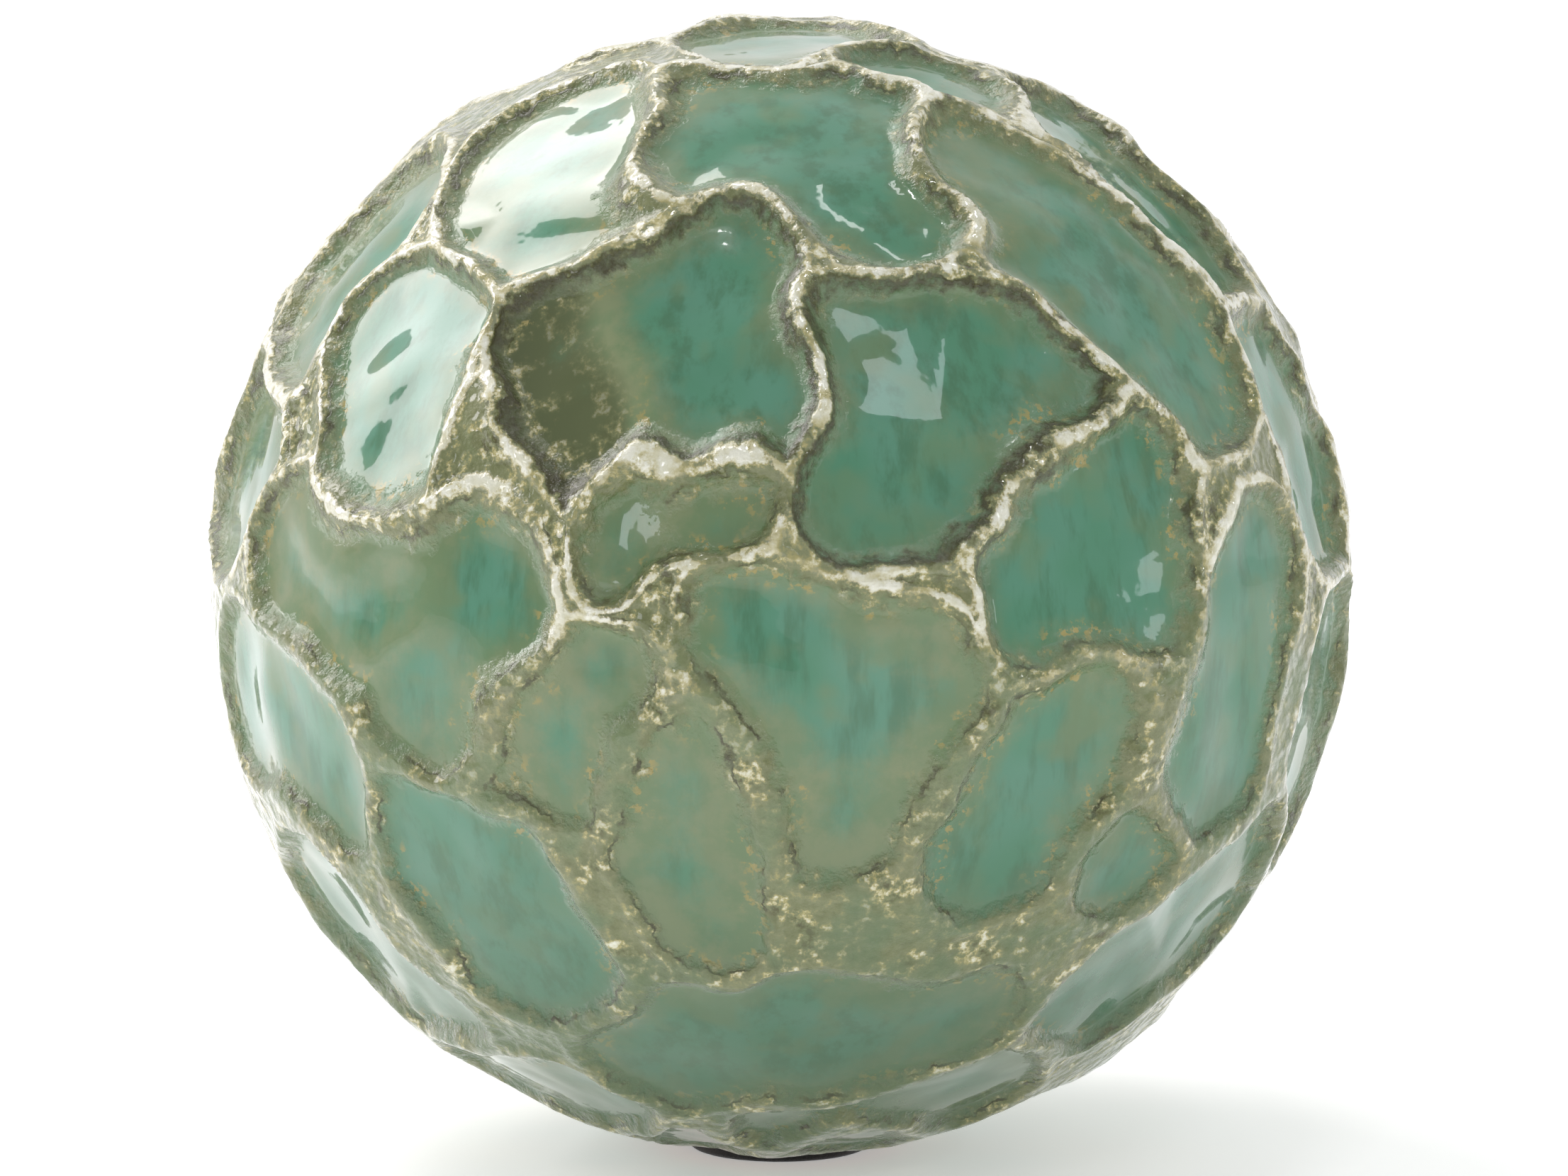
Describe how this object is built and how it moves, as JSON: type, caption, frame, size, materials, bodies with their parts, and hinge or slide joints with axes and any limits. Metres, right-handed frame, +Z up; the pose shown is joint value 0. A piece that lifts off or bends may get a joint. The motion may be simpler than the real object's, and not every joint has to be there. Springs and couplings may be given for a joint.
{
  "type": "decorative ceramic ball",
  "caption": "Hollow stoneware display ball with irregular hand-scooped dents under a thick pooled glaze, resting on a small felt pad.",
  "frame": {"origin": "centre of the resting face, on the underside of the felt pad", "axes": "+Z up through the ball's centre; the pictured side faces -Y; +X is to the right of that view"},
  "size_m": [0.1, 0.0992, 0.0999],
  "materials": {
    "stoneware": "bare fired stoneware, matt and slightly gritty",
    "slip": "bare fired slip, matt",
    "glaze": "glossy reactive glaze: teal in the dents, olive and tan on the lands, cream speckle on the ridges",
    "adhesive": "dried clear glue film",
    "felt": "short pressed black felt"
  },
  "bodies": {
    "root": {"upper_shell": "stoneware", "lower_shell": "stoneware", "slip_seam": "slip", "glaze_coat": "glaze", "foot_adhesive": "adhesive", "felt_pad": "felt"}
  },
  "joints": []
}
